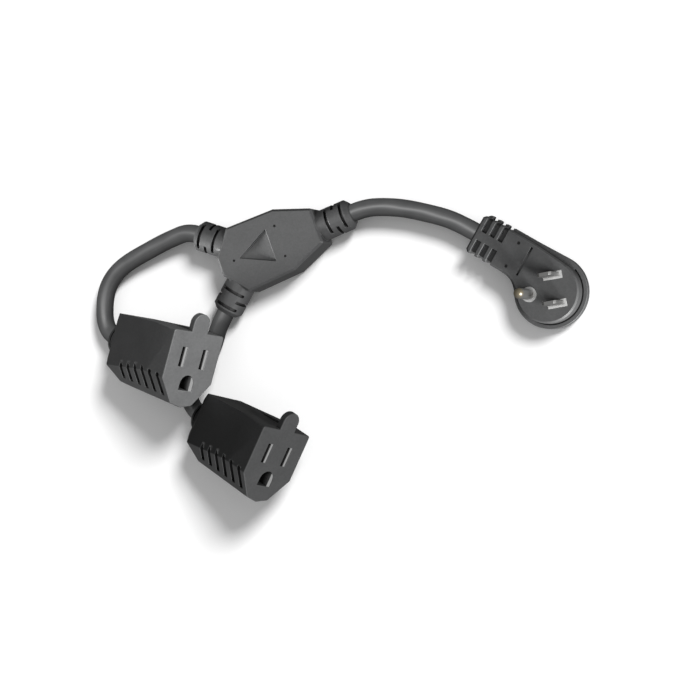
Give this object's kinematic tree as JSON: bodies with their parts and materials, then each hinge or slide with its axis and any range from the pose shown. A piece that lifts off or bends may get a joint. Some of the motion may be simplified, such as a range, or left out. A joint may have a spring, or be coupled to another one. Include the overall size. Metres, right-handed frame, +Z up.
{
  "type": "splitter cord with flat low profile plug",
  "caption": "Short power splitter cord: a flat low profile three-prong plug with an angled neck, a flat Y-shaped junction, and branch cords to single-outlet sockets with pull tabs.",
  "frame": {"origin": "on the plug's flat back, under the centre of its round head; the whole cord lies on z = 0", "axes": "+Z up, the way the prongs point; the blades lie to the +X side of the ground pin, and the cord and the sockets run off towards -X"},
  "size_m": [0.2412, 0.1413, 0.045],
  "materials": {
    "moulded_body": "fine moulded grain, dark grey",
    "bridge": "smooth light grey",
    "prong": "bright plated",
    "inner_block": "plain, hidden",
    "crimp": "plain, hidden",
    "contact": "bright plated strip",
    "jacket": "satin round jacket"
  },
  "bodies": {
    "root": {"plug_overmould": "moulded_body", "plug_bridge": "bridge", "blade_line": "prong", "blade_neutral": "prong", "ground_pin": "prong", "junction_overmould": "moulded_body", "junction_core": "inner_block", "splice_line": "crimp", "splice_ground": "crimp", "splice_neutral": "crimp", "socket_a_overmould": "moulded_body", "socket_a_carrier": "inner_block", "socket_a_contact_line": "contact", "socket_a_contact_neutral": "contact", "socket_a_contact_ground": "contact", "socket_b_overmould": "moulded_body", "socket_b_carrier": "inner_block", "socket_b_contact_line": "contact", "socket_b_contact_neutral": "contact", "socket_b_contact_ground": "contact", "main_cord": "jacket", "branch_cord_a": "jacket", "branch_cord_b": "jacket"}
  },
  "joints": []
}
